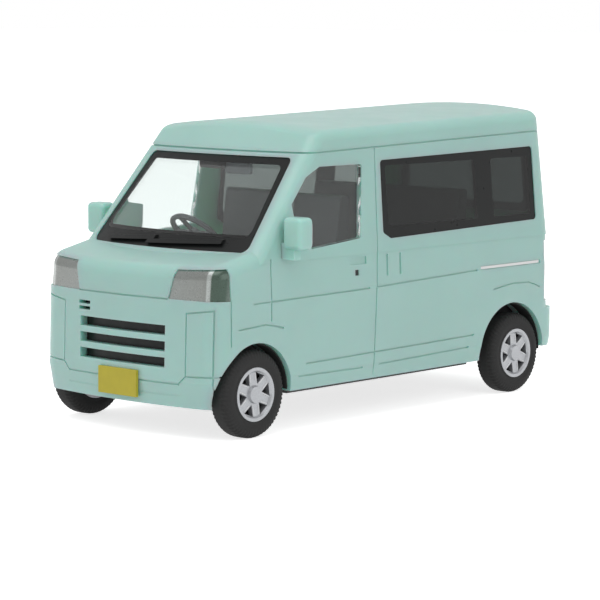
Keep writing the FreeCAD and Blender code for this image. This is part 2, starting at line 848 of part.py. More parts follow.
def body_shell():
    """The one-piece body moulding: hollow, with its windows, arches and grille slots cut."""
    shell = form(0).cut(form(size.wall))
    inner_x = half_width.number - size.arch_depth.number
    additions = []
    for _, middle, radius in ARCHES:
        axle_height = size.tyre_radius.number
        for _, sign in SIDES:
            ring = drum(radius.number + size.arch_lip.number, sign * inner_x,
                        sign * half_width.number, middle.number, axle_height)
            additions.append(ring.common(form(0.3)))
    bumper = lower_form(0, rear.number)
    block = Part.makeBox(REACH, 2 * size.tail_step + 3,
                         size.tail_bumper_top - size.under_tail,
                         Vector(-REACH / 2, tail_face - 2.5, size.under_tail))
    additions.append(bumper.common(block).cut(form(size.wall)))
    shell = shell.fuse(additions)
    cutters = [screen_outline(0), gate_outline(0)] + grille_slots() + engraving() + keyholes()
    for _, sign in SIDES:
        cutters += [door_window(sign), side_window(sign)]
        cutters.append(lamp_outline(sign).common(skin(0, size.lamp_recess + size.lamp_thick)))
        cutters.append(tail_lamp_outline(sign).common(skin(0, size.lamp_recess
                                                            + size.lamp_thick)))
        for _, middle, radius in ARCHES:
            cutters.append(drum(radius.number, sign * (inner_x - 1), sign * REACH.number,
                                middle.number, size.tyre_radius.number))
    # The lower edge: front bumper, sills behind the front axle, tail behind the rear axle
    for start, height in ((front - 1, size.under_bumper), (front_axle, size.under_sill),
                          (rear_axle, size.under_tail)):
        cutters.append(Part.makeBox(REACH, REACH, REACH,
                                    Vector(-REACH / 2, start, height - REACH)))
    return shaped("body_shell", shell.cut(cutters).removeSplitter())


def glazing():
    """The black window frames and the clear panes that sit in them."""
    step = size.glazing_step.number
    layer = skin(step, step + size.glazing_thick.number)
    screen = layer.common(screen_outline(0))
    clear = screen_outline(-1)
    shaped("windscreen_frame", screen.cut(clear))
    shaped("windscreen_glass", screen.common(clear))
    gate = layer.common(gate_outline(0))
    shaped("tailgate_window_frame", gate.cut(gate_outline(size.gate_band.number)))
    shaped("tailgate_glass", gate.common(gate_outline(size.gate_band.number)))
    for side, sign in SIDES:
        shaped("door_glass_" + side, layer.common(door_window(sign)))
        panel = layer.common(side_window(sign))
        panes = side_panes(sign)
        shaped("side_window_frame_" + side, panel.cut(panes))
        shaped("side_glass_" + side, panel.common(panes[0].fuse(panes[1])))


def lamps():
    """Head lamps and tail lamps, let into the body's skin."""
    recess = size.lamp_recess.number
    layer = skin(recess, recess + size.lamp_thick.number)
    for side, sign in SIDES:
        shaped("headlamp_" + side, layer.common(lamp_outline(sign)))
        shaped("tail_lamp_" + side, layer.common(tail_lamp_outline(sign)))


def grille():
    """The black panel behind the nose, seen through the slots."""
    depth = size.wall.number
    layer = skin(depth, depth + 0.5)
    window = Part.makeBox(2 * size.slot_half_width + 2, size.nose_corner + 1,
                          size.dash_slot_top - size.slot_top + 3 * size.slot_pitch + 1.5,
                          Vector(-size.slot_half_width - 1, front,
                                 size.slot_top - 3 * size.slot_pitch - 0.5))
    shaped("grille_backing", layer.common(window))


def plates():
    """The blank number plates, front on the bumper and rear on the tailgate."""
    for name, face, height in (("plate_front", front, size.front_plate_height),
                               ("plate_rear", tail_face, size.rear_plate_height)):
        plate = doc.addObject("Part::Box", name)
        plate.Label = name
        bind(plate, Length=size.plate_width, Width=size.plate_proud, Height=size.plate_height)
        place(plate, -size.plate_width / 2, face, height - size.plate_height / 2)


def wheel(name, sign, axle):
    """A six-opening wheel: a revolved rim and disc with a pocket turned round its axle."""
    body = new_body("wheel_" + name)
    outer = size.rim_radius
    inner = size.rim_radius - size.rim_lip
    disc = -size.rim_depth
    back = disc - size.rim_disc
    deep = -size.tyre_width
    corners = [(-size.tyre_width / 2, 0), (disc + size.hub_proud, 0),
               (disc + size.hub_proud, size.hub_radius), (disc, size.hub_radius + 0.1),
               (disc, inner - 0.15), (0, inner), (0, outer), (deep, outer), (deep, inner),
               (back, inner), (back, size.hub_radius + 0.3),
               (-size.tyre_width / 2, size.hub_radius + 0.3)]
    revolution(body, name + "_rim", outline(body, name + "_rim_section", "XY_Plane", corners),
               "H_Axis")
    opening = [(0, size.spoke_window_inner), (size.spoke_window_half, size.spoke_window_outer),
               (-size.spoke_window_half, size.spoke_window_outer)]
    cut = pocket(body, name + "_opening", outline(body, name + "_opening_outline", "YZ_Plane",
                                                  opening), 2 * size.tyre_width)
    doc.recompute()
    round_axle = body.newObject("PartDesign::PolarPattern", name + "_openings")
    round_axle.Originals = [cut]
    round_axle.Axis = (next(line for line in body.Origin.OriginFeatures
                            if line.Role == "X_Axis"), [""])
    round_axle.Angle = 360
    bind(round_axle, Occurrences=size.spoke_count)
    body.Tip = round_axle
    roll = Rotation(Vector(1, 0, 0), -sign * size.spoke_turn.number)
    body.Placement = Placement(Vector(), Rotation(Vector(0, 0, 1), 0 if sign > 0 else 180) * roll)
    place(body, sign * wheel_face, axle, size.tyre_radius)
    return body


def tyre(name, sign, axle):
    """A tyre with rounded shoulders, revolved round the rim."""
    body = new_body("tyre_" + name)
    radius = size.tyre_radius
    shoulder = size.tyre_shoulder
    inner = size.rim_radius
    width = size.tyre_width
    corners = [(-0.1, inner), (0, inner + 0.35), (0, radius - shoulder),
               (-0.35 * shoulder, radius - 0.35 * shoulder), (-shoulder, radius),
               (shoulder - width, radius),
               (0.35 * shoulder - width, radius - 0.35 * shoulder), (-width, radius - shoulder),
               (-width, inner + 0.35), (0.1 - width, inner)]
    revolution(body, name + "_tyre", outline(body, name + "_tyre_section", "XY_Plane", corners),
               "H_Axis")
    body.Placement = Placement(Vector(), Rotation(Vector(0, 0, 1), 0 if sign > 0 else 180))
    place(body, sign * wheel_face, axle, size.tyre_radius)
    return body


def axle_pin(name, axle):
    """The steel pin that joins two wheels through the chassis."""
    body = new_body("axle_" + name)
    sketch = circle(body, name + "_axle_section", "YZ_Plane", (0, 0), size.axle_radius)
    pad(body, name + "_axle", sketch, 2 * wheel_face - size.tyre_width, both_ways=True)
    place(body, 0, axle, size.tyre_radius)


def chassis():
    """The black base: a floor let into the body, wheel cheeks with axle bores, and bosses."""
    body = new_body("chassis")
    clear = size.wall + size.chassis_clearance
    side = half_width - clear - 0.3
    nose = nose_face + clear + 1.1
    tail = tail_face - clear - 0.75
    inner = size.cheek_half
    front_gap = size.front_arch_radius + size.arch_lip + size.chassis_clearance
    rear_gap = size.rear_arch_radius + size.arch_lip + size.chassis_clearance
    rear_middle = rear_axle - size.rear_arch_shift
    right = [(inner, nose), (inner, front_axle + front_gap), (side, front_axle + front_gap),
             (side, rear_middle - rear_gap), (inner, rear_middle - rear_gap), (inner, tail)]
    corners = right + [(-x, y) for x, y in reversed(right)]
    floor = outline(body, "chassis_floor_outline", "XY_Plane", corners)
    floor.AttachmentOffset = Placement()
    floor.setExpression(".AttachmentOffset.Base.z", size.chassis_floor.formula)
    pad(body, "chassis_floor", floor, size.chassis_thick)
    for name, middle, radius in ARCHES:
        axle = front_axle if name == "front" else rear_axle
        reach = radius + size.arch_lip
        low = size.chassis_floor
        start = nose if name == "front" else middle - reach
        end = middle + reach if name == "front" else tail
        shoulder = size.tyre_radius + 0.4 * reach
        crown = size.tyre_radius + 0.9 * reach
        cheek = outline(body, name + "_cheek_outline", "YZ_Plane",
                        [(start, low), (end, low), (end, shoulder), (middle + 0.6 * reach, crown),
                         (middle - 0.6 * reach, crown), (start, shoulder)])
        pad(body, name + "_cheeks", cheek, 2 * inner, both_ways=True)
        doc.recompute()
        hollow = outline(body, name + "_hollow_outline", "YZ_Plane",
                         [(start + size.cheek_thick, low + size.chassis_thick),
                          (end - size.cheek_thick, low + size.chassis_thick),
                          (end - size.cheek_thick, size.cabin_floor + 3),
                          (start + size.cheek_thick, size.cabin_floor + 3)])
        pocket(body, name + "_hollow", hollow, 2 * (inner - size.cheek_thick))
        doc.recompute()
        bore = circle(body, name + "_bore_outline", "YZ_Plane", (axle, size.tyre_radius),
                      size.axle_radius + size.axle_clearance)
        pocket(body, name + "_bore", bore, 2 * half_width)
        doc.recompute()
    for name, corners in underside_panels():
        panel = outline(body, name + "_outline", "XY_Plane", corners)
        panel.setExpression(".AttachmentOffset.Base.z", size.chassis_floor.formula)
        pocket(body, name, panel, 2 * size.relief_depth)
        doc.recompute()
    for name, y in (("front_screw", -size.screw_reach), ("rear_screw", size.screw_reach)):
        head = circle(body, name + "_outline", "XY_Plane", (0, y), size.screw_radius)
        head.setExpression(".AttachmentOffset.Base.z", size.chassis_floor.formula)
        pocket(body, name, head, 2 * size.relief_depth)
        doc.recompute()
    return body


def underside_panels():
    """Name and corners of the shallow fields under the base: tank, propeller shaft, exhaust."""
    side = size.tank_side
    far = side + size.tank_width
    cut = size.tank_width / 5
    tank = size.tank_length / 2
    pipe = -size.exhaust_side
    slim = size.exhaust_width / 2
    box = size.silencer_width / 2
    run = size.exhaust_length / 2
    box_start = run - size.silencer_length
    return (
        ("tank", [(side, -tank), (far - cut, -tank), (far, cut - tank), (far, tank - cut),
                  (far - cut, tank), (side, tank)]),
        ("shaft", [(-side, -tank), (-side, tank), (-side - slim, tank), (-side - slim, -tank)]),
        ("exhaust", [(pipe + slim, -run), (pipe + slim, box_start), (pipe + box, box_start),
                     (pipe + box, run), (pipe - box, run), (pipe - box, box_start),
                     (pipe - slim, box_start), (pipe - slim, -run)]),
    )


def bosses():
    """Where the four chassis bosses stand: (x, y)."""
    side = size.boss_side
    reach = size.boss_reach
    return ((side, front_axle + reach), (-side, front_axle + reach),
            (side, rear_axle - reach), (-side, rear_axle - reach))


def cabin_floor():
    """The cabin's floor tray, standing on bosses from the chassis."""
    body = new_body("cabin_floor")
    side = half_width - size.wall - size.tray_clearance
    nose = front + size.screen_foot_back + 0.6
    tail = tail_face - size.wall - 2 * size.tray_clearance
    corner = size.tray_corner
    corners = [(side, nose), (side, tail - corner), (side - corner, tail),
               (corner - side, tail), (-side, tail - corner), (-side, nose)]
    sketch = outline(body, "cabin_floor_outline", "XY_Plane", corners)
    sketch.setExpression(".AttachmentOffset.Base.z", size.cabin_floor.formula)
    pad(body, "cabin_floor_plate", sketch, size.cabin_floor_thick)
    for index, (x, y) in enumerate(bosses()):
        post = circle(body, "boss_%d_outline" % index, "XY_Plane", (x, y), size.boss_radius)
        foot = size.chassis_floor + size.chassis_thick
        post.setExpression(".AttachmentOffset.Base.z", foot.formula)
        pad(body, "boss_%d" % index, post, size.cabin_floor - foot + size.cabin_floor_thick / 2)
        doc.recompute()
    return body


def dashboard():
    """The dashboard, one section across the cab."""
    body = new_body("dashboard")
    start = front + size.screen_foot_back + 1.0
    floor = size.cabin_floor + size.cabin_floor_thick
    back = start + size.dash_depth
    corners = [(start, floor), (start, size.dash_top - size.dash_nose_drop),
               (start + size.dash_nose_length, size.dash_top - size.dash_cowl_gap),
               (start + size.dash_nose_length + size.dash_cowl_gap, size.dash_top),
               (back, size.dash_top - size.dash_cowl_gap),
               (back + size.dash_cowl_gap, size.dash_top - size.dash_nose_drop),
               (back - 2 * size.dash_cowl_gap, floor)]
    sketch = outline(body, "dashboard_section", "YZ_Plane", corners)
    pad(body, "dashboard_pad", sketch, 2 * (half_width - size.wall - 0.6), both_ways=True)
    return body


def seat(name, middle, width, start):
    """A seat: cushion and leaning back in one section, its edges rounded."""
    body = new_body(name)
    base = size.cabin_floor + size.cabin_floor_thick
    length = size.seat_length
    lean = size.seat_back_thick
    top = base + size.seat_height + size.seat_back_height
    corners = [(start, base), (start, base + size.seat_height),
               (start + length - lean, base + size.seat_height - 0.2),
               (start + length - 0.6, top), (start + length + 0.7, top),
               (start + length + 0.2, base)]
    sketch = outline(body, name + "_section", "YZ_Plane", corners)
    padded = pad(body, name + "_pad", sketch, width, both_ways=True)
    doc.recompute()
    rounded = body.newObject("PartDesign::Fillet", name + "_round")
    crease = base.number + size.seat_height.number - 0.2
    edges = ["Edge%d" % (index + 1) for index, edge in enumerate(padded.Shape.Edges)
             if edge.BoundBox.XLength > 1 and edge.CenterOfMass.z > base.number + 0.1
             and abs(edge.CenterOfMass.z - crease) > 0.01]
    rounded.Base = (padded, edges)
    bind(rounded, Radius=size.seat_round)
    place(body, middle, 0, 0)
    return body


def steering_wheel():
    """The rim, hub, three spokes and column, on the right-hand side."""
    radius = size.steering_radius.number
    thick = size.steering_rim.number
    section = Part.makePolygon([Vector(radius + thick * math.cos(turn), 0, thick * math.sin(turn))
                                for turn in (math.radians(60 * step) for step in range(7))])
    rim = Part.Face(section).revolve(Vector(), Vector(0, 0, 1), 360)
    parts = [rim, Part.makeCylinder(0.6, 0.5, Vector(0, 0, -0.4)),
             Part.makeCylinder(0.35, 4.2, Vector(0, 0, -0.3), Vector(0, 0, -1))]
    for angle in (0, 180, 270):
        spoke = Part.makeBox(radius, 0.4, 0.3, Vector(0, -0.2, -0.3))
        spoke.rotate(Vector(), Vector(0, 0, 1), angle)
        parts.append(spoke)
    middle = Vector(-size.seat_offset, front + size.steering_back, size.steering_height)
    tilt = Rotation(Vector(1, 0, 0), -size.steering_tilt.number)
    shaped("steering_wheel", parts[0].fuse(parts[1:]), Placement(middle, tilt))


def mirrors():
    """The door mirrors: a rounded housing on a short foot, one on each door."""
    for side, sign in SIDES:
        x = half_width.number - 0.2
        y = front.number + size.mirror_back.number
        bottom = size.mirror_bottom.number
        housing = Part.makeBox(size.mirror_width, size.mirror_length,
                               size.mirror_height - size.mirror_arm_height,
                               Vector(x + 0.35, y, bottom + size.mirror_arm_height.number))
        housing = housing.makeFillet(size.mirror_round, housing.Edges)
        arm = Part.makeBox(1.6, 0.9, size.mirror_arm_height + 0.6, Vector(x, y + 0.3, bottom))
        mirror = housing.fuse(arm).cut(form(0))
        if sign < 0:
            mirror = mirror.mirror(Vector(), Vector(1, 0, 0))
        shaped("mirror_" + side, mirror)


def wipers():
    """Two blades lying along the foot of the windscreen."""
    step = size.glazing_step.number
    layer = upper_form(step - size.wiper_thick.number, rounded=False).cut(form(step))
    blades = []
    for x_from, x_to in ((-size.wiper_right_end.number, -size.wiper_right_foot.number),
                         (-size.wiper_left_foot.number, size.wiper_left_end.number)):
        low = size.screen_bottom.number + 0.35
        points = [(x_from, front.number, low), (x_to, front.number, low + 0.35),
                  (x_to, front.number, low + 0.35 + size.wiper_width.number),
                  (x_from, front.number, low + size.wiper_width.number)]
        blades.append(prism(points, Vector(0, size.overall_length.number * 0.3, 0)))
    shaped("wipers", layer.common(blades[0].fuse(blades[1])))


def build():
    body_shell()
    glazing()
    lamps()
    grille()
    plates()
    for end, axle in (("front", front_axle), ("rear", rear_axle)):
        axle_pin(end, axle)
        for side, sign in SIDES:
            wheel(end + "_" + side, sign, axle)
            tyre(end + "_" + side, sign, axle)
    chassis()
    cabin_floor()
    dashboard()
    seat("seat_driver", -size.seat_offset, size.seat_width, front + size.front_seat_back)
    seat("seat_passenger", size.seat_offset, size.seat_width, front + size.front_seat_back)
    seat("seat_rear", as_size(0), 2 * (half_width - size.wall - 1.2),
         front + size.rear_seat_back)
    steering_wheel()
    mirrors()
    wipers()


def finished_pieces():
    """Every piece of the document that is a sub-part by itself."""
    return [item for item in doc.Objects
            if item.TypeId in ("PartDesign::Body", "Part::Feature", "Part::Box")]


def check_and_write():
    doc.recompute()
    failed = [item.Name for item in doc.Objects if {"Invalid", "Error"} & set(item.State)]
    if failed:
        raise RuntimeError("not computed: " + ", ".join(failed))
    os.makedirs("parts", exist_ok=True)
    pieces = finished_pieces()
    for piece in pieces:
        if piece.Shape.isNull() or not piece.Shape.isValid() or not piece.Shape.Solids:
            raise RuntimeError("bad shape: " + piece.Label)
    for piece in pieces:
        piece.Shape.exportStep("parts/" + piece.Label + ".step")
        print("%-24s %2d solid  %9.2f mm3" % (piece.Label, len(piece.Shape.Solids),
                                              piece.Shape.Volume))


build()
check_and_write()
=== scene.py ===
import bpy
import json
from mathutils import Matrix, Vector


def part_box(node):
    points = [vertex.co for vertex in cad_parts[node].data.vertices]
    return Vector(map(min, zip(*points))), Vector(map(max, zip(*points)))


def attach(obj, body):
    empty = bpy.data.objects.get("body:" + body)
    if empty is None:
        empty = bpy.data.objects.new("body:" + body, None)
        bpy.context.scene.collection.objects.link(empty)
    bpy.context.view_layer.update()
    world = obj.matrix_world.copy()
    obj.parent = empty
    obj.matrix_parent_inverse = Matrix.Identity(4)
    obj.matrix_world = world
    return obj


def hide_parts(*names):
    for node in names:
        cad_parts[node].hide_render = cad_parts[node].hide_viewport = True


bl_info = {
    "name": "Toy Kei Van",
    "version": (1, 0, 0),
    "blender": (4, 5, 0),
    "location": "3D View > Sidebar > Toy Van",
    "description": "Finishes the toy kei van: plastics, panes, lamps, ribbed tyres and studio",
    "category": "Object",
}

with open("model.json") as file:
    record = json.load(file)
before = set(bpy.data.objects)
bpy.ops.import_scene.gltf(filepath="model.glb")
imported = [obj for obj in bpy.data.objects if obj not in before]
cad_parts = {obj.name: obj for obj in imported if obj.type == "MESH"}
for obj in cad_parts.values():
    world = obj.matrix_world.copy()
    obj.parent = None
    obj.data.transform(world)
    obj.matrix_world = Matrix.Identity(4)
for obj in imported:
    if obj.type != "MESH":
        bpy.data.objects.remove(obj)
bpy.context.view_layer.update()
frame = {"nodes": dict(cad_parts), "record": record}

import json
import math

import bmesh
import bpy
import numpy as np
from mathutils import Matrix, Vector

MM = 0.001
SIDES = {"left": 1, "right": -1}
ENDS = ("front", "rear")

# Sizes of the solids, which the new pieces fit, in millimetres and degrees. A pair is a place
# along the van and a height, or a low and a high end.
RIM_RADIUS = 2.5
RIM_DEPTH = 0.2
SPOKE_COUNT = 6
SPOKE_TURN = 22.0
SPOKE_WINDOW_INNER = 1.0
SPOKE_WINDOW_OUTER = 2.0
SPOKE_WINDOW_HALF = 0.62
# Columns: radius of the arch, how far ahead of the axle its middle lies, turn of its liner
ARCHES = {"front": (4.75, 0.0, 148.0), "rear": (5.3, 0.8, 180.0)}
KEYHOLE = (-6.05, 14.25)
RAIL_Y = (13.0, 23.0)
RAIL_Z = (13.1, 13.5)
SCREW_REACH = 13.0
SCREW_SEAT = 3.75
BODY_HALF_WIDTH = 11.6

# Sizes of the new pieces, in millimetres
RIDGE_OFFSET = 0.11
RIDGE_SUNK = 0.03
BACKING_DEPTH = (1.05, 1.15)
BACKING_BORE = 1.08
BACKING_MARGIN = 0.31
LINER_X = (9.9, 11.2)
LINER_THICK = 0.10
LINER_GAP = 0.04
# The keyhole's black spot is painted shade in its recess
KEYHOLE_SHADE_BLOCK = (0.5, 0.62, 0.62)
KEYHOLE_SHADE_SUNK = 0.35
KEYHOLE_CLEAR = 1.2
MIRROR_FACE = (1.5, 0.06, 2.5)
MIRROR_FACE_SHIFT = 0.35
MIRROR_FACE_SUNK = 0.02
MIRROR_FACE_Z = 18.62
# The rail's bright strip is a painted highlight along its groove
RAIL_HIGHLIGHT_END = 0.15
RAIL_HIGHLIGHT_EDGE = 0.06
RAIL_HIGHLIGHT_HALF = 0.05
SCREW_EDGE = 0.98
SCREW_DOME = 0.10
SCREW_CROSS_HALF = 0.13
SCREW_CROSS_REACH = 0.62
SCREW_CROSS_DEPTH = 0.12

# The studio: the floor's half length in metres, the paper's own glow, and how far the picture is
# shifted across and up, as shares of its width
FLOOR_HALF = 3.0
PAPER_GLOW = 0.73
PICTURE_SHIFT = (-0.0078, -0.0339)


# Values that a user would change

class ToyVanColours(bpy.types.PropertyGroup):
    """Colours of the toy's plastics and prints."""
    body: bpy.props.FloatVectorProperty(
        name="Body", description="Pale green of the body moulding",
        subtype="COLOR", size=3, min=0, max=1, default=(0.365, 0.595, 0.545))
    print_black: bpy.props.FloatVectorProperty(
        name="Black print", description="Window bands, grille and wipers",
        subtype="COLOR", size=3, min=0, max=1, default=(0.012, 0.013, 0.013))
    lamp: bpy.props.FloatVectorProperty(
        name="Lamp silver", description="Silver paint behind the head lamp's face",
        subtype="COLOR", size=3, min=0, max=1, default=(0.26, 0.28, 0.27))
    tail_lamp: bpy.props.FloatVectorProperty(
        name="Tail lamp", description="Red of the tail lamps",
        subtype="COLOR", size=3, min=0, max=1, default=(0.42, 0.012, 0.012))
    plate: bpy.props.FloatVectorProperty(
        name="Plate", description="Yellow of the blank plates",
        subtype="COLOR", size=3, min=0, max=1, default=(0.47, 0.40, 0.022))
    cabin: bpy.props.FloatVectorProperty(
        name="Cabin", description="Grey of the cabin moulding",
        subtype="COLOR", size=3, min=0, max=1, default=(0.065, 0.072, 0.078))
    base: bpy.props.FloatVectorProperty(
        name="Base", description="Black of the base moulding",
        subtype="COLOR", size=3, min=0, max=1, default=(0.014, 0.014, 0.015))
    tyre: bpy.props.FloatVectorProperty(
        name="Tyre", description="Black of the tyres",
        subtype="COLOR", size=3, min=0, max=1, default=(0.009, 0.0095, 0.011))
    wheel: bpy.props.FloatVectorProperty(
        name="Wheel", description="Silver paint on the wheels",
        subtype="COLOR", size=3, min=0, max=1, default=(0.43, 0.44, 0.46))
    steel: bpy.props.FloatVectorProperty(
        name="Steel", description="Drawn wire of the axle pins",
        subtype="COLOR", size=3, min=0, max=1, default=(0.50, 0.50, 0.50))
    pane: bpy.props.FloatVectorProperty(
        name="Clear pane", description="Tint of the clear panes",
        subtype="COLOR", size=3, min=0, max=1, default=(0.86, 0.90, 0.89))
    smoke: bpy.props.FloatVectorProperty(
        name="Smoked pane", description="Tint of the smoked panes",
        subtype="COLOR", size=3, min=0, max=1, default=(0.11, 0.13, 0.125))


class ToyVanShapes(bpy.types.PropertyGroup):
    """Sizes of the pieces that the solids leave plain."""
    rib_count: bpy.props.IntProperty(
        name="Ribs", description="Ribs round each shoulder of a tyre", default=60)
    rib_depth: bpy.props.FloatProperty(
        name="Rib depth", description="Depth of the grooves in a tyre",
        unit="LENGTH", default=0.09 * MM)
    ridge_width: bpy.props.FloatProperty(
        name="Spoke ridge width", description="Width of the raised edge along each spoke",
        unit="LENGTH", default=0.15 * MM)
    ridge_height: bpy.props.FloatProperty(
        name="Spoke ridge height", description="How proud the raised edge stands",
        unit="LENGTH", default=0.10 * MM)


class ToyVanStudio(bpy.types.PropertyGroup):
    """Camera, lamps and floor."""
    azimuth: bpy.props.FloatProperty(
        name="Azimuth", description="Camera's turn about the van from straight ahead",
        subtype="ANGLE", default=math.radians(41.7596))
    elevation: bpy.props.FloatProperty(
        name="Elevation", description="Camera's height angle",
        subtype="ANGLE", default=math.radians(6.0894))
    roll: bpy.props.FloatProperty(
        name="Roll", description="Camera's tilt about its own axis",
        subtype="ANGLE", default=math.radians(0.2571))
    distance: bpy.props.FloatProperty(
        name="Distance", description="Camera's distance from the point it aims at",
        unit="LENGTH", default=255 * MM)
    aim: bpy.props.FloatVectorProperty(
        name="Aim", description="Point the camera's axis passes through",
        subtype="TRANSLATION", unit="LENGTH", size=3,
        default=(0.351 * MM, -0.864 * MM, 12.355 * MM))
    lens: bpy.props.FloatProperty(
        name="Lens", description="Focal length on a 36 mm sensor, in millimetres", default=153.66)
    floor: bpy.props.FloatVectorProperty(
        name="Floor", description="Colour of the floor's shadowed paper",
        subtype="COLOR", size=3, min=0, max=1, default=(0.80, 0.80, 0.80))
    soft_light: bpy.props.FloatProperty(
        name="Soft light", description="Strength of the world's even light", default=0.68)
    key_light: bpy.props.FloatProperty(
        name="Key light", description="Power of the overhead softbox in watts", default=0.60)
    side_light: bpy.props.FloatProperty(
        name="Side light", description="Power of the softbox beside the camera in watts", default=0.30)


# Node materials

class Recipe:
    """A node material under construction: its tree, its Principled shader and short links."""

    def __init__(self, name, colour, roughness, metallic=0.0):
        self.material = bpy.data.materials.new(name)
        self.material.use_nodes = True
        self.tree = self.material.node_tree
        self.shader = self.tree.nodes["Principled BSDF"]
        self.output = self.tree.nodes["Material Output"]
        self.shader.inputs["Base Color"].default_value = (*colour, 1)
        self.shader.inputs["Roughness"].default_value = roughness
        self.shader.inputs["Metallic"].default_value = metallic
        self.material.diffuse_color = (*colour, 1)
        self.colour = tuple(colour)
        self.roughness = roughness
        self.where = self.add("ShaderNodeTexCoord").outputs["Object"]

    def add(self, kind, **settings):
        """A node with its settings; a setting named after an input sets that input."""
        node = self.tree.nodes.new(kind)
        for key, value in settings.items():
            if hasattr(node, key):
                setattr(node, key, value)
            else:
                node.inputs[key.replace("_", " ")].default_value = value
        return node

    def link(self, source, target):
        self.tree.links.new(source, target)

    def noise(self, size, detail=2.0, stretch=(1, 1, 1)):
        """Noise whose grains are about size metres across, drawn out along an axis by stretch."""
        mapping = self.add("ShaderNodeMapping")
        mapping.inputs["Scale"].default_value = [1 / (size * way) for way in stretch]
        self.link(self.where, mapping.inputs["Vector"])
        noise = self.add("ShaderNodeTexNoise", Scale=1.0, Detail=detail)
        self.link(mapping.outputs["Vector"], noise.inputs["Vector"])
        return noise.outputs["Fac"]

    def spread(self, factor, low, high):
        """Maps a noise's usual range onto low to high."""
        ramp = self.add("ShaderNodeMapRange")
        for name, value in (("From Min", 0.3), ("From Max", 0.7), ("To Min", low), ("To Max", high)):
            ramp.inputs[name].default_value = value
        self.link(factor, ramp.inputs["Value"])
        return ramp.outputs["Result"]

    def shade(self, factor, depth):
        """Lets the colour vary by depth, as a share, along a factor."""
        mix = self.add("ShaderNodeMix", data_type="RGBA")
        mix.inputs["A"].default_value = (*[part * (1 - depth) for part in self.colour], 1)
        mix.inputs["B"].default_value = (*[min(part * (1 + depth), 1) for part in self.colour], 1)
        self.link(self.spread(factor, 0, 1), mix.inputs["Factor"])
        self.link(mix.outputs["Result"], self.shader.inputs["Base Color"])

    def gloss(self, factor, change):
        """Lets the roughness vary by change either way along a factor."""
        spread = self.spread(factor, self.roughness - change, self.roughness + change)
        self.link(spread, self.shader.inputs["Roughness"])

    def relief(self, factor, depth):
        """A bump of depth metres along a factor."""
        bump = self.add("ShaderNodeBump", Strength=1.0, Distance=depth)
        self.link(factor, bump.inputs["Height"])
        self.link(bump.outputs["Normal"], self.shader.inputs["Normal"])

    def lets_light_in(self, tint):
        """Lets lamps shine through the pane, which else would leave the cabin dark."""
        through = self.add("ShaderNodeBsdfTransparent", Color=(*tint, 1))
        path = self.add("ShaderNodeLightPath")
        mix = self.add("ShaderNodeMixShader")
        self.link(path.outputs["Is Shadow Ray"], mix.inputs["Fac"])
        self.link(self.shader.outputs["BSDF"], mix.inputs[1])
        self.link(through.outputs["BSDF"], mix.inputs[2])
        self.link(mix.outputs["Shader"], self.output.inputs["Surface"])


def moulded_plastic(name, colour, roughness, grain=0.12 * MM, depth=0.0015 * MM):
    """Moulded plastic: even colour with faint flow clouds, a fine skin and uneven gloss."""
    made = Recipe(name, colour, roughness)
    made.shade(made.noise(9 * MM, 3.0), 0.025)
    made.gloss(made.noise(2.5 * MM, 3.0), 0.04)
    made.relief(made.noise(grain, 2.0), depth)
    made.shader.inputs["Specular IOR Level"].default_value = 0.5
    return made


def body_plastic(colours):
    """Mint plastic that passes some green light, so the thin pillars glow from inside."""
    made = moulded_plastic("body_mint", colours.body, 0.34)
    made.shader.inputs["Subsurface Weight"].default_value = 0.6
    made.shader.inputs["Subsurface Radius"].default_value = (0.3, 1.0, 0.7)
    made.shader.inputs["Subsurface Scale"].default_value = 2.2 * MM
    made.shader.inputs["Coat Weight"].default_value = 0.15
    made.shader.inputs["Coat Roughness"].default_value = 0.18
    return made.material


def black_print(colours):
    """Black print: thin ink over the moulding, satin, with a slightly mottled surface."""
    made = Recipe("trim_black", colours.print_black, 0.34)
    made.shader.inputs["Specular IOR Level"].default_value = 0.22
    made.gloss(made.noise(0.9 * MM, 3.0), 0.07)
    made.relief(made.noise(0.2 * MM, 2.0), 0.001 * MM)
    return made.material


def clear_pane(name, tint, roughness):
    """Tinted clear plastic, slightly uneven, that lets the lamps shine into the cabin."""
    made = Recipe(name, tint, roughness)
    made.shader.inputs["Transmission Weight"].default_value = 1.0
    made.shader.inputs["IOR"].default_value = 1.49
    made.shader.inputs["Specular IOR Level"].default_value = 0.25
    made.relief(made.noise(6 * MM, 1.0), 0.006 * MM)
    made.lets_light_in([part ** 0.2 for part in tint])
    return made.material


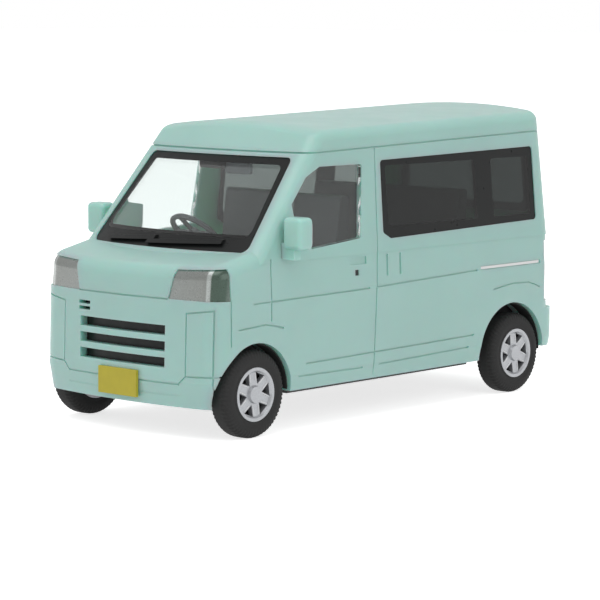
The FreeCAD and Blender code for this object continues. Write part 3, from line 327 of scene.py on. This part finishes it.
def lamp_silver(colours):
    """Silver lamp face under a clear coat, with a brighter narrow band and a darker green outer part,
    set by the distance from the van's middle.
    """
    made = Recipe("lamp_silver", colours.lamp, 0.30, 0.55)
    made.shade(made.noise(0.10 * MM, 2.0), 0.16)
    made.gloss(made.noise(0.6 * MM), 0.06)
    place = made.add("ShaderNodeSeparateXYZ")
    made.link(made.where, place.inputs["Vector"])
    across = made.add("ShaderNodeMath", operation="ABSOLUTE")
    made.link(place.outputs["X"], across.inputs[0])
    bands = made.add("ShaderNodeValToRGB")
    stretch = made.add("ShaderNodeMapRange", From_Min=5 * MM, From_Max=12 * MM)
    made.link(across.outputs["Value"], stretch.inputs["Value"])
    made.link(stretch.outputs["Result"], bands.inputs["Fac"])
    # Columns: place as a share of the way out from 5 to 12 mm, tone that the paint is multiplied by
    stops = ((0.0, (1, 1, 1)), (0.70, (0.92, 0.90, 0.88)), (0.715, (1.7, 1.7, 1.7)),
             (0.755, (1.5, 1.5, 1.5)), (0.77, (0.24, 0.36, 0.28)), (0.90, (0.20, 0.32, 0.25)),
             (0.94, (0.75, 0.85, 0.80)))
    elements = bands.color_ramp.elements
    for index, (stop, tone) in enumerate(stops):
        element = elements[index] if index < 2 else elements.new(stop)
        element.position = stop
        element.color = (*tone, 1)
    tint = made.add("ShaderNodeMix", data_type="RGBA", blend_type="MULTIPLY", Factor=1.0)
    flakes = made.shader.inputs["Base Color"].links[0].from_socket
    made.link(flakes, tint.inputs["A"])
    made.link(bands.outputs["Color"], tint.inputs["B"])
    made.link(tint.outputs["Result"], made.shader.inputs["Base Color"])
    made.shader.inputs["Coat Weight"].default_value = 0.6
    made.shader.inputs["Coat Roughness"].default_value = 0.06
    return made.material


def tail_lamp_red(colours):
    """Clear red plastic with a high gloss."""
    made = Recipe("lamp_red", colours.tail_lamp, 0.16)
    made.shade(made.noise(0.8 * MM), 0.10)
    made.shader.inputs["Transmission Weight"].default_value = 0.25
    made.shader.inputs["Coat Weight"].default_value = 0.8
    made.shader.inputs["Coat Roughness"].default_value = 0.05
    made.relief(made.noise(3 * MM), 0.006 * MM)
    return made.material


def plate_yellow(colours):
    """Yellow print, satin and faintly cloudy."""
    made = Recipe("plate_yellow", colours.plate, 0.46)
    made.shade(made.noise(1.3 * MM, 3.0), 0.05)
    made.relief(made.noise(0.15 * MM), 0.001 * MM)
    return made.material


def wheel_silver(colours):
    """Silver wheel paint: dark flakes in a bright metal base, slightly rough."""
    made = Recipe("wheel_silver", colours.wheel, 0.36, 0.6)
    made.shade(made.noise(0.07 * MM, 2.0), 0.12)
    made.gloss(made.noise(0.5 * MM), 0.05)
    return made.material


def drawn_steel(colours):
    """Drawn wire: die lines run along the axle, so the noise is long across the van."""
    made = Recipe("axle_steel", colours.steel, 0.28, 1.0)
    lines = made.noise(0.05 * MM, 2.0, stretch=(40, 1, 1))
    made.gloss(lines, 0.08)
    made.relief(lines, 0.001 * MM)
    return made.material


def tyre_rubber(colours):
    """Moulded black tyre: dull, with a fine grain."""
    made = Recipe("tyre_black", colours.tyre, 0.62)
    made.shader.inputs["Specular IOR Level"].default_value = 0.2
    made.shade(made.noise(0.5 * MM, 4.0), 0.25)
    made.relief(made.noise(0.08 * MM, 3.0), 0.002 * MM)
    return made.material


def finishes(colours):
    """Every slot's material by the name of its slot in the record."""
    return {
        "body_mint": body_plastic(colours),
        "trim_black": black_print(colours),
        "glass_clear": clear_pane("glass_clear", colours.pane, 0.03),
        "glass_dark": clear_pane("glass_dark", colours.smoke, 0.05),
        "lamp_silver": lamp_silver(colours),
        "lamp_red": tail_lamp_red(colours),
        "plate_yellow": plate_yellow(colours),
        "chassis_black": moulded_plastic("chassis_black", colours.base, 0.48,
                                         0.10 * MM, 0.004 * MM).material,
        "cabin_grey": moulded_plastic("cabin_grey", colours.cabin, 0.52,
                                      0.12 * MM, 0.004 * MM).material,
        "axle_steel": drawn_steel(colours),
        "wheel_silver": wheel_silver(colours),
        "tyre_black": tyre_rubber(colours),
    }


class OBJECT_OT_toy_van_finishes(bpy.types.Operator):
    """Give every solid of the van the finish of its slot"""
    bl_idname = "object.toy_van_finishes"
    bl_label = "Finish the Solids"

    def execute(self, context):
        made = finishes(context.scene.toy_van_colours)
        for row in frame["record"]["subparts"]:
            solid = frame["nodes"][row["node"]]
            solid.data.materials.clear()
            solid.data.materials.append(made[row["material_slot"]])
        return {"FINISHED"}


# Surfaces

def grid_faces(rows, columns, close_rows=False, close_columns=False):
    """Quads between the neighbours of a rows by columns grid, joined end to end where closed."""
    row, column = np.meshgrid(np.arange(rows if close_rows else rows - 1),
                              np.arange(columns if close_columns else columns - 1), indexing="ij")
    next_row, next_column = (row + 1) % rows, (column + 1) % columns
    corners = (row * columns + column, next_row * columns + column,
               next_row * columns + next_column, row * columns + next_column)
    return np.stack(corners, -1).reshape(-1, 4)


def new_piece(name, points, faces, slot, body="root", stands_for=None, smooth=True):
    """A piece from points in millimetres, with the finish of its slot, riding a body."""
    mesh = bpy.data.meshes.new(name)
    mesh.from_pydata(np.asarray(points).reshape(-1, 3) * MM, [], np.asarray(faces).tolist())
    mesh.materials.append(bpy.data.materials[slot])
    if smooth:
        mesh.shade_smooth()
    tidy = bmesh.new()
    tidy.from_mesh(mesh)
    bmesh.ops.recalc_face_normals(tidy, faces=tidy.faces)
    tidy.to_mesh(mesh)
    tidy.free()
    piece = bpy.data.objects.new(name, mesh)
    bpy.context.scene.collection.objects.link(piece)
    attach(piece, body)
    if stands_for:
        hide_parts(stands_for)


def bar_faces(count):
    """Faces of a four-sided bar of count sections, closed at both ends."""
    last = 4 * (count - 1)
    ends = [[0, 1, 2, 3], [last + 3, last + 2, last + 1, last]]
    return grid_faces(count, 4, close_columns=True).tolist() + ends


def rounded_block(centre, size, soft=0.25, count=24):
    """A box with soft edges: a sphere's directions raised to a power, so the sides go flat."""
    around = np.linspace(0, 2 * math.pi, 2 * count, endpoint=False)
    up = np.linspace(-math.pi / 2, math.pi / 2, count)
    up, around = np.meshgrid(up, around, indexing="ij")

    def flat(value):
        return np.sign(value) * np.abs(value) ** soft

    points = np.stack([flat(np.cos(up)) * flat(np.cos(around)),
                       flat(np.cos(up)) * flat(np.sin(around)), flat(np.sin(up))], -1)
    points = points * np.array(size) / 2 + np.array(centre)
    return points, grid_faces(count, 2 * count, close_columns=True)


def wheel_places():
    """Name, side, body, and place of the four wheels: x of the outer face, y and z of the axle."""
    for end in ENDS:
        for side, sign in SIDES.items():
            low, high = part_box("tyre_%s_%s" % (end, side))
            face = (high[0] if sign > 0 else low[0]) / MM
            yield ("%s_%s" % (end, side), sign, end + "_wheelset", face,
                   (low[1] + high[1]) / 2 / MM, (low[2] + high[2]) / 2 / MM)


def tyre_surface(width, radius, bead, ribs, groove):
    """A tyre about the X axis: its section turned round, cut by ribs across the shoulders.

    The section runs bead, side wall, shoulder, tread and back. Its radius drops by the groove's
    depth where a cosine round the tyre is high, on the shoulders only, and in the two narrow
    grooves that run round the tread.
    """
    # Columns: place across as a share of half the width, radius
    section = np.array([(-0.86, bead), (-0.97, bead + 0.02), (-0.985, bead + 0.16),
                        (-0.955, bead + 0.26), (-1.0, bead + 0.55), (-1.0, bead + 0.78),
                        (-0.93, radius - 0.42), (-0.80, radius - 0.16), (-0.62, radius - 0.04),
                        (-0.45, radius), (0.45, radius)])
    shoulder_starts, shoulder_fades, shoulder_ends, end_fades = 0.42, 0.12, 0.75, 0.2
    rib_slope, rib_lean = 1.2, 4
    groove_place, groove_half = 0.24, 0.06
    tread_parts, steps_a_rib = 16, 6

    section = np.concatenate([section, (section * (-1, 1))[8::-1]])
    for _ in range(2):
        inner = np.stack([0.75 * section[:-1] + 0.25 * section[1:],
                          0.25 * section[:-1] + 0.75 * section[1:]], 1).reshape(-1, 2)
        section = np.concatenate([section[:1], inner, section[-1:]])
    across = np.linspace(0, 1, tread_parts + 1)[1:-1]
    middle = int(np.argmax(np.diff(section[:, 0])))
    tread = section[middle] + across[:, None] * (section[middle + 1] - section[middle])
    section = np.concatenate([section[:middle + 1], tread, section[middle + 1:]])
    turn = np.linspace(0, 2 * math.pi, ribs * steps_a_rib, endpoint=False)[None, :]
    x, r = section[:, :1], section[:, 1:]
    shoulder = (np.clip((np.abs(x) - shoulder_starts) / shoulder_fades, 0, 1)
                * np.clip((r - radius + shoulder_ends) / end_fades, 0, 1))
    slot = np.clip(0.5 + rib_slope * np.cos(ribs * turn + rib_lean * x), 0, 1)
    round_groove = np.clip(1 - np.abs(np.abs(x) - groove_place) / groove_half, 0, 1)
    reach = r - groove * np.maximum(shoulder * slot, round_groove)
    points = np.stack([x * width / 2 + 0 * turn, -reach * np.sin(turn), -reach * np.cos(turn)], -1)
    return points, grid_faces(len(section), ribs * steps_a_rib, True, True)


class OBJECT_OT_toy_van_tyres(bpy.types.Operator):
    """Fit the four ribbed tyres in the place of the plain ones"""
    bl_idname = "object.toy_van_tyres"
    bl_label = "Fit the Tyres"

    def execute(self, context):
        shapes = context.scene.toy_van_shapes
        for name, sign, body, face, y, z in wheel_places():
            low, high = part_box("tyre_" + name)
            width = (high[0] - low[0]) / MM
            radius = (high[2] - low[2]) / 2 / MM
            points, faces = tyre_surface(width, radius, RIM_RADIUS, shapes.rib_count,
                                         shapes.rib_depth / MM)
            points = points + np.array([face - sign * width / 2, y, z])
            new_piece("ribbed_tyre_" + name, points, faces, "tyre_black", body, "tyre_" + name)
        return {"FINISHED"}


def ridge_surface(start, end, across, height, count=10, arc_count=9):
    """A low ridge from start to end in the plane of a wheel's face: half an ellipse, carried along.

    Its first coordinate is how proud it stands of that plane.
    """
    start, end = np.array(start), np.array(end)
    way = (end - start) / np.linalg.norm(end - start)
    side = np.array([-way[1], way[0]])
    arc = np.linspace(0, math.pi, arc_count)[None, :]
    along = np.linspace(0, 1, count)[:, None]
    swell = np.sqrt(np.clip(1 - (2 * along - 1) ** 8, 0.02, 1))
    u = start[0] + along * (end - start)[0] + side[0] * across / 2 * np.cos(arc) * swell
    v = start[1] + along * (end - start)[1] + side[1] * across / 2 * np.cos(arc) * swell
    proud = height * np.sin(arc) * swell - RIDGE_SUNK
    return np.stack([proud, u, v], -1), grid_faces(count, arc_count)


def spoke_ridges(sign, face, y, z, shapes):
    """The raised edges of one wheel's spokes: a ridge on each side of each spoke's window."""
    edge = np.array([SPOKE_WINDOW_HALF, SPOKE_WINDOW_OUTER - SPOKE_WINDOW_INNER])
    normal = np.array([edge[1], -edge[0]]) / np.linalg.norm(edge)
    points, faces, count = [], [], 0
    for spoke in range(SPOKE_COUNT):
        turn = math.radians(360 / SPOKE_COUNT * spoke + SPOKE_TURN)
        for hand in (-1, 1):
            ends = []
            for share in (0.16, 1.0):
                u = hand * (edge[0] * share + normal[0] * RIDGE_OFFSET)
                v = SPOKE_WINDOW_INNER + edge[1] * share + normal[1] * RIDGE_OFFSET
                ends.append((y + u * math.cos(turn) + v * math.sin(turn),
                             z + v * math.cos(turn) - u * math.sin(turn)))
            ridge, quads = ridge_surface(*ends, shapes.ridge_width / MM,
                                         shapes.ridge_height / MM)
            ridge[..., 0] = face - sign * (RIM_DEPTH - ridge[..., 0])
            points.append(ridge.reshape(-1, 3))
            faces.append(quads + count)
            count += len(points[-1])
    return np.concatenate(points), np.concatenate(faces)


def turned_section(section_x, section_r, y, z, turn):
    """A section's points in x and radius, repeated at each turn about an axle at y and z."""
    section_x, section_r, turn = np.array([section_x]), np.array([section_r]), turn[:, None]
    return np.stack([section_x + 0 * turn, y + section_r * np.cos(turn),
                     z + section_r * np.sin(turn)], -1)


def wheel_backing(sign, face, y, z, count=96):
    """A flat black ring behind the openings between one wheel's spokes."""
    near, far = BACKING_DEPTH
    section_x = [face - sign * depth for depth in (far, far, near, near)]
    rim = RIM_RADIUS - BACKING_MARGIN
    turn = np.linspace(0, 2 * math.pi, count, endpoint=False)
    points = turned_section(section_x, [BACKING_BORE, rim, rim, BACKING_BORE], y, z, turn)
    return points, grid_faces(count, 4, True, True)


class OBJECT_OT_toy_van_wheel_detail(bpy.types.Operator):
    """Raise the spokes' edges on the four wheels and back their openings in black"""
    bl_idname = "object.toy_van_wheel_detail"
    bl_label = "Detail the Wheels"

    def execute(self, context):
        shapes = context.scene.toy_van_shapes
        for name, sign, body, face, y, z in wheel_places():
            new_piece("spoke_ridges_" + name, *spoke_ridges(sign, face, y, z, shapes),
                      "wheel_silver", body)
            new_piece("wheel_backing_" + name, *wheel_backing(sign, face, y, z),
                      "tyre_black", body, smooth=False)
        return {"FINISHED"}


def arch_liner(radius, sign, y, z, last_turn, count=72):
    """Part of a tube over a wheel: a small rectangle turned from the rear up and forward."""
    near, far = sign * LINER_X[0], sign * LINER_X[1]
    inner = radius - LINER_THICK
    points = turned_section([near, far, far, near], [radius, radius, inner, inner], y, z,
                            np.linspace(0, last_turn, count))
    return points, bar_faces(count)


class OBJECT_OT_toy_van_liners(bpy.types.Operator):
    """Line the four wheel arches in the base's black"""
    bl_idname = "object.toy_van_liners"
    bl_label = "Line the Arches"

    def execute(self, context):
        for name, sign, _, _, y, z in wheel_places():
            radius, shift, last_turn = ARCHES[name.split("_")[0]]
            new_piece("arch_liner_" + name,
                      *arch_liner(radius - LINER_GAP, sign, y - shift, z, math.radians(last_turn)),
                      "chassis_black", smooth=False)
        return {"FINISHED"}


def skin_x(y, z, sign):
    """How far out the body moulding's side lies at a height and a place along the van."""
    shell = frame["nodes"]["body_shell"]
    outside = Vector((sign * 0.02, y * MM, z * MM))
    hit, place, _, _ = shell.ray_cast(outside, Vector((-sign, 0, 0)))
    return place[0] / MM if hit else sign * BODY_HALF_WIDTH


def keyhole_shade(sign):
    """A black spot at the bottom of the keyhole's recess, painted shade that darkens the recess, set
    by the skin ahead of the recess.
    """
    out = skin_x(KEYHOLE[0] - KEYHOLE_CLEAR, KEYHOLE[1], sign)
    return rounded_block((out - sign * KEYHOLE_SHADE_SUNK, *KEYHOLE), KEYHOLE_SHADE_BLOCK, 0.12, 12)


def mirror_face(side, sign):
    """The silvered face on the rear of a door mirror."""
    low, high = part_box("mirror_" + side)
    middle = (low[0] + high[0]) / 2 / MM + sign * MIRROR_FACE_SHIFT
    place = (middle, high[1] / MM - MIRROR_FACE_SUNK, MIRROR_FACE_Z)
    return rounded_block(place, MIRROR_FACE, 0.3, 20)


def rail_highlight(sign, count=24):
    """A bright steel band in the sliding door's rail, bent to the body's side: a painted highlight
    along the rail's groove.
    """
    along = np.linspace(RAIL_Y[0] + RAIL_HIGHLIGHT_END, RAIL_Y[1] - RAIL_HIGHLIGHT_END, count)
    skin = np.array([skin_x(y, sum(RAIL_Z) / 2, sign) for y in along])
    low, high = RAIL_Z[0] + RAIL_HIGHLIGHT_EDGE, RAIL_Z[1] - RAIL_HIGHLIGHT_EDGE
    inner, outer = skin - sign * RAIL_HIGHLIGHT_HALF, skin + sign * RAIL_HIGHLIGHT_HALF
    corners = ((inner, low), (outer, low), (outer, high), (inner, high))
    points = np.stack([np.stack([x, along, np.full(count, z)], -1) for x, z in corners], 1)
    return points, bar_faces(count)


def screw(sign, count=96):
    """A domed screw head with a cross cut in it, facing down from the base."""
    around = np.linspace(0, 2 * math.pi, count, endpoint=False)[None, :]
    reach = np.concatenate([[0.001], np.linspace(0.05, 0.86, 18), [0.95, 0.97]])[:, None]
    u, v = reach * np.cos(around), reach * np.sin(around)
    dome = SCREW_DOME * np.sqrt(np.clip(1 - (reach / SCREW_EDGE) ** 4, 0, 1))
    near = np.minimum(np.abs(u), np.abs(v))
    cross = (np.clip((SCREW_CROSS_HALF - near) / 0.03, 0, 1)
             * np.clip((SCREW_CROSS_REACH - reach) / 0.06, 0, 1))
    height = SCREW_SEAT - dome + SCREW_CROSS_DEPTH * cross
    points = np.stack([u, v + sign * SCREW_REACH, height], -1)
    return points, grid_faces(len(reach), count, close_columns=True)


class OBJECT_OT_toy_van_trim(bpy.types.Operator):
    """Add the small fittings: painted shade in the keyholes, a painted highlight in the rails, mirror
    faces, inner mirror and screws
    """
    bl_idname = "object.toy_van_trim"
    bl_label = "Add the Small Fittings"

    def execute(self, context):
        for side, sign in SIDES.items():
            # Painted shade: a black spot sunk in each keyhole's recess
            new_piece("keyhole_" + side, *keyhole_shade(sign), "trim_black")
            new_piece("mirror_face_" + side, *mirror_face(side, sign), "lamp_silver")
            # Painted highlight: a bright steel strip along each rail's groove
            new_piece("rail_highlight_" + side, *rail_highlight(sign), "axle_steel", smooth=False)
        # The inner mirror's blocks; columns: middle, size, how sharp the edges are
        stem = ((-1.3, -12.05, 24.35), (2.9, 1.0, 1.3), 0.2)
        mirror = ((1.6, -11.6, 23.9), (3.3, 0.5, 1.3), 0.25)
        new_piece("mirror_stem", *rounded_block(*stem), "trim_black")
        new_piece("inner_mirror", *rounded_block(*mirror), "cabin_grey")
        for name, sign in (("front", -1), ("rear", 1)):
            new_piece("screw_" + name, *screw(sign), "axle_steel")
        return {"FINISHED"}


# Studio

def direction(azimuth, elevation):
    """Unit vector from the van towards a place seen at these angles; azimuth 0 is straight ahead."""
    return Vector((math.sin(azimuth) * math.cos(elevation),
                   -math.cos(azimuth) * math.cos(elevation), math.sin(elevation)))


def softbox(name, azimuth, elevation, distance, size, power, aim):
    """A square area lamp that faces aim."""
    lamp = bpy.data.lights.new(name, "AREA")
    lamp.shape = "SQUARE"
    lamp.size = size
    lamp.energy = power
    box = bpy.data.objects.new(name, lamp)
    away = direction(azimuth, elevation)
    box.location = aim + away * distance
    box.rotation_euler = away.to_track_quat("Z", "Y").to_euler()
    bpy.context.scene.collection.objects.link(box)


def backdrop_material(colour):
    """Paper that the camera, mirrors and panes see as white, but for the van's shadow on it."""
    made = Recipe("paper", colour, 0.9)
    made.shader.inputs["Specular IOR Level"].default_value = 0.1
    glow = made.add("ShaderNodeEmission")
    path = made.add("ShaderNodeLightPath")
    seen = made.add("ShaderNodeMath", operation="MAXIMUM")
    seen_twice = made.add("ShaderNodeMath", operation="MAXIMUM")
    made.link(path.outputs["Is Camera Ray"], seen.inputs[0])
    made.link(path.outputs["Is Glossy Ray"], seen.inputs[1])
    made.link(seen.outputs["Value"], seen_twice.inputs[0])
    made.link(path.outputs["Is Transmission Ray"], seen_twice.inputs[1])
    strength = made.add("ShaderNodeMath", operation="MULTIPLY")
    strength.inputs[1].default_value = PAPER_GLOW
    made.link(seen_twice.outputs["Value"], strength.inputs[0])
    made.link(strength.outputs["Value"], glow.inputs["Strength"])
    total = made.add("ShaderNodeAddShader")
    made.link(made.shader.outputs["BSDF"], total.inputs[0])
    made.link(glow.outputs["Emission"], total.inputs[1])
    made.link(total.outputs["Shader"], made.output.inputs["Surface"])
    return made.material


def world_light(strength):
    """An even pale sky that lights at strength, and shows as white behind the van."""
    world = bpy.data.worlds.new("studio")
    bpy.context.scene.world = world
    world.use_nodes = True
    tree = world.node_tree
    sky = tree.nodes["Background"]
    sky.inputs["Color"].default_value = (1, 1, 1, 1)
    path = tree.nodes.new("ShaderNodeLightPath")
    seen = tree.nodes.new("ShaderNodeMath")
    seen.operation = "MAXIMUM"
    tree.links.new(path.outputs["Is Camera Ray"], seen.inputs[0])
    tree.links.new(path.outputs["Is Transmission Ray"], seen.inputs[1])
    amount = tree.nodes.new("ShaderNodeMapRange")
    amount.inputs["To Min"].default_value = strength
    amount.inputs["To Max"].default_value = 1.0
    tree.links.new(seen.outputs["Value"], amount.inputs["Value"])
    tree.links.new(amount.outputs["Result"], sky.inputs["Strength"])


class OBJECT_OT_toy_van_studio(bpy.types.Operator):
    """Lay the floor, hang the softboxes and set up the camera"""
    bl_idname = "object.toy_van_studio"
    bl_label = "Set Up the Studio"

    def execute(self, context):
        studio = context.scene.toy_van_studio
        mesh = bpy.data.meshes.new("floor")
        ways = ((-1, -1), (1, -1), (1, 1), (-1, 1))
        corners = [(x * FLOOR_HALF, y * FLOOR_HALF, 0) for x, y in ways]
        mesh.from_pydata(corners, [], [(0, 1, 2, 3)])
        mesh.materials.append(backdrop_material(studio.floor))
        floor = bpy.data.objects.new("floor", mesh)
        context.scene.collection.objects.link(floor)

        aim = Vector(studio.aim)
        softbox("overhead_softbox", azimuth=math.radians(10), elevation=math.radians(68),
                distance=0.45, size=0.35, power=studio.key_light, aim=aim)
        softbox("side_softbox", azimuth=math.radians(75), elevation=math.radians(25),
                distance=0.5, size=0.3, power=studio.side_light, aim=aim)
        world_light(studio.soft_light)

        lens = bpy.data.cameras.new("camera")
        lens.sensor_width = 36.0
        lens.lens = studio.lens
        lens.shift_x, lens.shift_y = PICTURE_SHIFT
        lens.clip_start = 0.01
        camera = bpy.data.objects.new("camera", lens)
        back = direction(studio.azimuth, studio.elevation)
        right = Vector((math.cos(studio.azimuth), math.sin(studio.azimuth), 0))
        turned = Matrix((right, back.cross(right), back)).transposed().to_4x4()
        turned = turned @ Matrix.Rotation(studio.roll, 4, "Z")
        camera.matrix_world = Matrix.Translation(aim + back * studio.distance) @ turned
        context.scene.collection.objects.link(camera)
        context.scene.camera = camera
        context.scene.view_settings.view_transform = "Standard"
        return {"FINISHED"}


class VIEW3D_PT_toy_van(bpy.types.Panel):
    bl_label = "Toy Kei Van"
    bl_idname = "VIEW3D_PT_toy_van"
    bl_space_type = "VIEW_3D"
    bl_region_type = "UI"
    bl_category = "Toy Van"

    def draw(self, context):
        column = self.layout.column()
        for operator in STEPS:
            column.operator(operator.bl_idname)
        for group in (getattr(context.scene, name) for name in GROUPS):
            box = self.layout.box()
            for name in group.__annotations__:
                box.prop(group, name)


STEPS = (OBJECT_OT_toy_van_finishes, OBJECT_OT_toy_van_tyres, OBJECT_OT_toy_van_wheel_detail,
         OBJECT_OT_toy_van_liners, OBJECT_OT_toy_van_trim, OBJECT_OT_toy_van_studio)
GROUPS = {"toy_van_colours": ToyVanColours, "toy_van_shapes": ToyVanShapes,
          "toy_van_studio": ToyVanStudio}


def register():
    for kind in (*GROUPS.values(), *STEPS, VIEW3D_PT_toy_van):
        bpy.utils.register_class(kind)
    for name, kind in GROUPS.items():
        setattr(bpy.types.Scene, name, bpy.props.PointerProperty(type=kind))


def unregister():
    for name in GROUPS:
        delattr(bpy.types.Scene, name)
    for kind in reversed((*GROUPS.values(), *STEPS, VIEW3D_PT_toy_van)):
        bpy.utils.unregister_class(kind)


def main():
    register()
    bpy.ops.object.toy_van_finishes()
    bpy.ops.object.toy_van_tyres()
    bpy.ops.object.toy_van_wheel_detail()
    bpy.ops.object.toy_van_liners()
    bpy.ops.object.toy_van_trim()
    bpy.ops.object.toy_van_studio()


if __name__ == "__main__":
    main()
